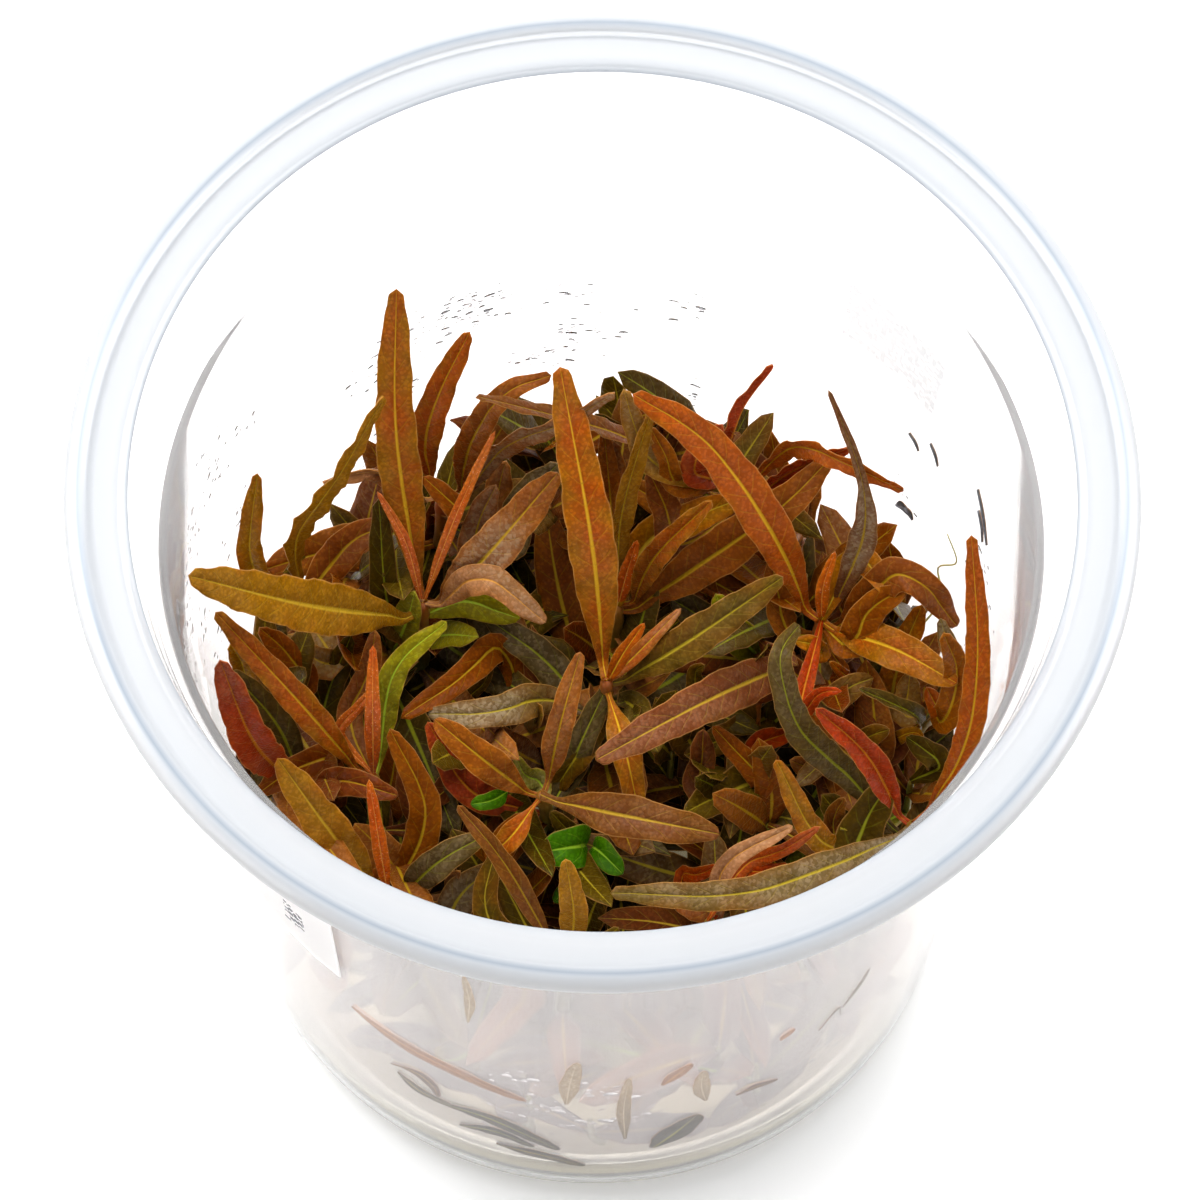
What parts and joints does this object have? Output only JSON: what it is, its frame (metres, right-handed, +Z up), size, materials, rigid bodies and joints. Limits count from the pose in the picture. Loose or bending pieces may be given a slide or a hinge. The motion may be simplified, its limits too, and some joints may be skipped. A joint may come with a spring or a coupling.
{
  "type": "aquarium plant culture cup",
  "caption": "Round clear cup with a wide rolled rim, holding a dense clump of narrow copper-brown stem-plant shoots that grow up from a layer of nutrient jelly.",
  "frame": {"origin": "middle of the underside of the cup's foot, where it stands on a surface", "axes": "+Z up along the cup's axis, -Y towards the viewer of the picture, +X to the viewer's right"},
  "size_m": [0.1098, 0.1098, 0.1091],
  "materials": {
    "cup_plastic": "clear thin moulded plastic, faintly milky at the rim",
    "jelly": "wet translucent nutrient jelly, drained and slightly grey",
    "sticker": "matt white film label",
    "stem": "moist plant stem, olive to reddish",
    "amber_leaf": "moist leaf with a soft sheen and a paler midrib",
    "umber_leaf": "moist leaf with a soft sheen and a paler midrib",
    "gold_leaf": "moist leaf with a soft sheen and a paler midrib",
    "olive_leaf": "moist leaf with a soft sheen and a paler midrib",
    "forest_leaf": "moist leaf with a soft sheen and a paler midrib",
    "crimson_leaf": "moist leaf with a soft sheen and a paler midrib",
    "plum_leaf": "moist leaf with a soft sheen and a paler midrib",
    "rose_leaf": "moist leaf with a soft sheen and a paler midrib",
    "ochre_leaf": "moist leaf with a soft sheen and a paler midrib",
    "lime_leaf": "moist leaf with a soft sheen and a paler midrib"
  },
  "bodies": {
    "root": {"cup": "cup_plastic", "jelly": "jelly", "front_sticker": "sticker", "back_sticker": "sticker", "left_back_stems": "stem", "middle_stems": "stem", "right_back_stems": "stem", "left_front_stems": "stem", "right_front_stems": "stem", "front_stem": "stem", "lower_back_leaf": "umber_leaf", "deep_left_leaf": "forest_leaf", "deep_middle_leaf": "forest_leaf", "rust_leaf": "crimson_leaf", "chestnut_back_leaf": "umber_leaf", "front_left_dark_leaf": "forest_leaf", "left_ochre_leaf": "ochre_leaf", "right_forest_leaf": "forest_leaf", "short_gold_leaf": "gold_leaf", "grey_arching_leaf": "olive_leaf", "far_left_leaf": "gold_leaf", "left_red_leaf": "crimson_leaf", "yellow_strap_leaf": "gold_leaf", "back_left_amber_leaf": "amber_leaf", "back_left_arching_leaf": "umber_leaf", "back_left_rose_leaf": "rose_leaf", "back_red_leaf": "crimson_leaf", "back_crossing_leaf": "plum_leaf", "back_right_red_leaf": "crimson_leaf", "back_right_amber_leaf": "amber_leaf", "back_left_crossing_leaf": "umber_leaf", "right_arching_leaf": "umber_leaf", "right_tall_leaf": "plum_leaf", "back_gold_leaf": "gold_leaf", "back_broad_leaf": "umber_leaf", "back_orange_leaf": "amber_leaf", "green_leaf": "lime_leaf", "left_amber_leaf": "amber_leaf", "left_gold_leaf": "gold_leaf", "left_broad_leaf": "umber_leaf", "left_tall_leaf": "amber_leaf", "left_rose_leaf": "rose_leaf", "middle_falling_leaf": "amber_leaf", "middle_olive_leaf": "olive_leaf", "middle_tall_leaf": "amber_leaf", "right_long_leaf": "amber_leaf", "right_orange_leaf": "amber_leaf", "forest_strap_leaf": "forest_leaf", "plum_leaf": "plum_leaf", "front_amber_leaf": "amber_leaf", "front_left_leaf": "umber_leaf", "front_upright_leaf": "umber_leaf", "front_plum_leaf": "plum_leaf", "front_gold_leaf": "gold_leaf", "front_brown_leaf": "plum_leaf", "front_middle_leaf": "gold_leaf", "front_right_leaf": "rose_leaf", "right_red_leaf": "crimson_leaf", "front_long_leaf": "olive_leaf", "right_front_tall_leaf": "amber_leaf"}
  },
  "joints": []
}
